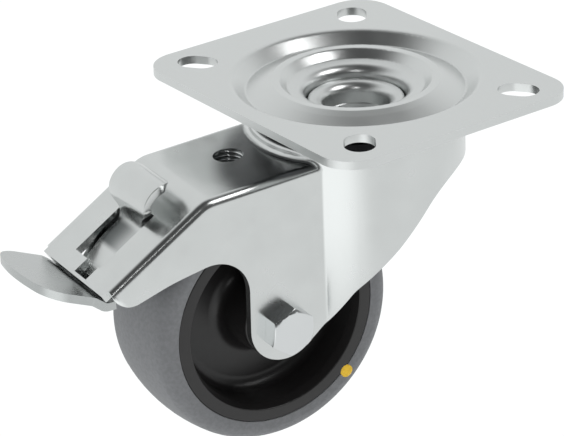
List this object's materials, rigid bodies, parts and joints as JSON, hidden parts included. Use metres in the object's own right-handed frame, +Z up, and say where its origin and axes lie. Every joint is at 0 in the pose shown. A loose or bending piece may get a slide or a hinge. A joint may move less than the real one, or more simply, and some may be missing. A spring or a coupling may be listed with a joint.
{
  "type": "swivel castor",
  "caption": "Swivel castor with a square-cornered top plate, ball-race head, pressed fork, grey rubber wheel and a rocker pedal brake with release tab.",
  "frame": {"origin": "centre of the top plate's upper face, on the swivel axis", "axes": "+Z up and out of the plate's mounting face; X along the plate's 85 mm side, Y along its 100 mm side; at rest the wheel trails towards -X"},
  "size_m": [0.1563, 0.1, 0.1023],
  "materials": {
    "zinc": "bright zinc plating, satin",
    "zinc_pressed": "bright zinc plating, satin",
    "ball_steel": "polished",
    "spring_steel": "oiled",
    "bolt_zinc": "bright zinc plating",
    "rim_plastic": "moulded, slightly glossy",
    "tread_rubber": "matt grey rubber",
    "bush_plastic": "moulded",
    "insert_plastic": "moulded"
  },
  "bodies": {
    "plate": {"top_plate": "zinc", "king_pin": "zinc", "lower_race": "zinc_pressed"},
    "upper_ring": {"upper_balls": "ball_steel"},
    "lower_ring": {"lower_balls": "ball_steel"},
    "fork": {"fork": "zinc_pressed", "pivot_lug_near": "zinc_pressed", "pivot_lug_far": "zinc_pressed", "pivot_pin": "bolt_zinc", "axle_tube": "zinc", "axle_bolt": "bolt_zinc", "axle_nut": "bolt_zinc", "nut_insert": "insert_plastic"},
    "wheel": {"wheel_rim": "rim_plastic", "tread": "tread_rubber", "hub_bush_near": "bush_plastic", "hub_bush_far": "bush_plastic"},
    "rocker": {"brake_pedal": "zinc", "release_tab": "zinc"},
    "leaf": {"brake_leaf": "spring_steel"}
  },
  "joints": [
    {"name": "swivel", "type": "hinge", "parent": "plate", "child": "fork", "pos_m": [0, 0, 0], "axis": [0, 0, 1], "continuous": true},
    {"name": "upper_ball_run", "type": "hinge", "parent": "plate", "child": "upper_ring", "pos_m": [0, 0, 0], "axis": [0, 0, 1], "continuous": true},
    {"name": "lower_ball_run", "type": "hinge", "parent": "plate", "child": "lower_ring", "pos_m": [0, 0, 0], "axis": [0, 0, 1], "continuous": true},
    {"name": "wheel_spin", "type": "hinge", "parent": "fork", "child": "wheel", "pos_m": [-0.03848, 0.00383, -0.06236], "axis": [0.099, 0.9951, 0], "continuous": true},
    {"name": "brake_rocker", "type": "hinge", "parent": "fork", "child": "rocker", "pos_m": [-0.07961, 0.00792, -0.0365], "axis": [0.099, 0.9951, 0], "range_deg": [-15, 0]},
    {"name": "leaf_flex", "type": "hinge", "parent": "fork", "child": "leaf", "pos_m": [-0.06568, 0.00653, -0.02163], "axis": [0.099, 0.9951, 0], "range_deg": [-3.09, 0]}
  ],
  "couplings": [
    {"joint": "upper_ball_run", "follows": "swivel", "ratio": 0.5},
    {"joint": "lower_ball_run", "follows": "swivel", "ratio": 0.5},
    {"joint": "leaf_flex", "follows": "brake_rocker", "ratio": 0.1926}
  ]
}
